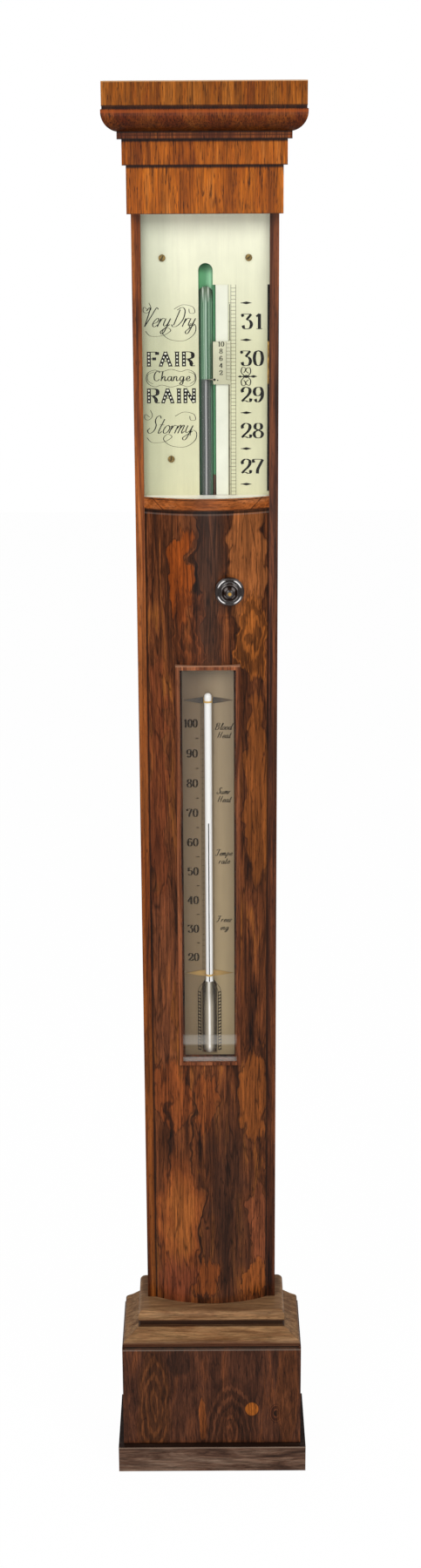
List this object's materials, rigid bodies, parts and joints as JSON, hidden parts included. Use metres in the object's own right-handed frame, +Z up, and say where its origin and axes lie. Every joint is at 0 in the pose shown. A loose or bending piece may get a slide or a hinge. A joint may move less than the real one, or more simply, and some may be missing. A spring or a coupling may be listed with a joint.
{
  "type": "stick barometer",
  "caption": "Bow-front wall stick barometer with a glazed register, a rack and pinion vernier, a recessed thermometer and a cistern hidden in the plinth.",
  "frame": {"origin": "centre of the hook hole in the hanging plate, on the wall plane", "axes": "+X to the right seen from the front, +Y into the wall, +Z up"},
  "size_m": [0.15, 0.0742, 1.0665],
  "materials": {
    "rosewood": "French polish",
    "cross_veneer": "French polish",
    "pine": "bare",
    "boxwood": "oiled",
    "ebony": "polished",
    "brass": "lacquered",
    "silvered_brass": "silvered, aged",
    "bone": "polished bone",
    "case_glass": "clear",
    "tube_glass": "clear",
    "mercury": "liquid metal",
    "leather": "soft"
  },
  "bodies": {
    "case": {"trunk_front": "rosewood", "upper_base_moulding": "rosewood", "lower_base_moulding": "rosewood", "plinth_front": "rosewood", "plinth_left": "rosewood", "plinth_right": "rosewood", "skirt_front": "rosewood", "skirt_left": "rosewood", "skirt_right": "rosewood", "thermometer_frame": "rosewood", "left_stile": "cross_veneer", "right_stile": "cross_veneer", "register_rail": "cross_veneer", "frieze_lower_front": "cross_veneer", "frieze_lower_left": "cross_veneer", "frieze_lower_right": "cross_veneer", "frieze_upper": "cross_veneer", "cornice_fillet": "cross_veneer", "cornice_ovolo": "cross_veneer", "cornice_cap": "cross_veneer", "backboard": "pine", "register_bed": "pine", "plinth_floor": "pine", "plinth_blocks": "pine", "tube_cradles": "pine", "cistern_cap": "boxwood", "cistern_body": "boxwood", "cistern_foot": "boxwood", "plate_screws": "brass", "tube_straps": "brass", "spindle_bush": "brass", "pinion_cock": "brass", "cock_screws": "brass", "thermometer_clips": "brass", "hanging_plate": "brass", "hanging_screws": "brass", "register_plate": "silvered_brass", "thermometer_plate": "silvered_brass", "register_sill": "bone", "scale_strip": "bone", "register_glass": "case_glass", "thermometer_glass": "case_glass", "barometer_tube": "tube_glass", "thermometer_tube": "tube_glass", "mercury_column": "mercury", "cistern_mercury": "mercury", "thermometer_mercury": "mercury", "cistern_leather": "leather"},
    "vernier": {"vernier_plate": "silvered_brass", "vernier_carriage": "brass", "vernier_rack": "brass"},
    "knob": {"pinion": "brass", "knob_spindle": "brass", "vernier_knob": "ebony", "knob_centre": "brass"},
    "lift": {"portable_pad": "boxwood"},
    "screw": {"portable_screw": "brass"}
  },
  "joints": [
    {"name": "knob_turn", "type": "hinge", "parent": "case", "child": "knob", "pos_m": [0.016, -0.045, -0.2661], "axis": [0, 1, 0], "range_deg": [-890, 448]},
    {"name": "vernier_slide", "type": "slide", "parent": "case", "child": "vernier", "axis": [0, 0, 1], "range_m": [-0.0745, 0.0375]},
    {"name": "screw_rise", "type": "slide", "parent": "case", "child": "lift", "axis": [0, 0, 1], "range_m": [0, 0.0042], "deforming": ["cistern_leather"]},
    {"name": "screw_turn", "type": "hinge", "parent": "lift", "child": "screw", "pos_m": [0, -0.0215, -0.9581], "axis": [0, 0, 1], "range_deg": [0, 1513]}
  ],
  "couplings": [
    {"joint": "knob_turn", "follows": "vernier_slide", "rad_per_m": 208.33},
    {"joint": "screw_turn", "follows": "screw_rise", "rad_per_m": 6283.2}
  ]
}
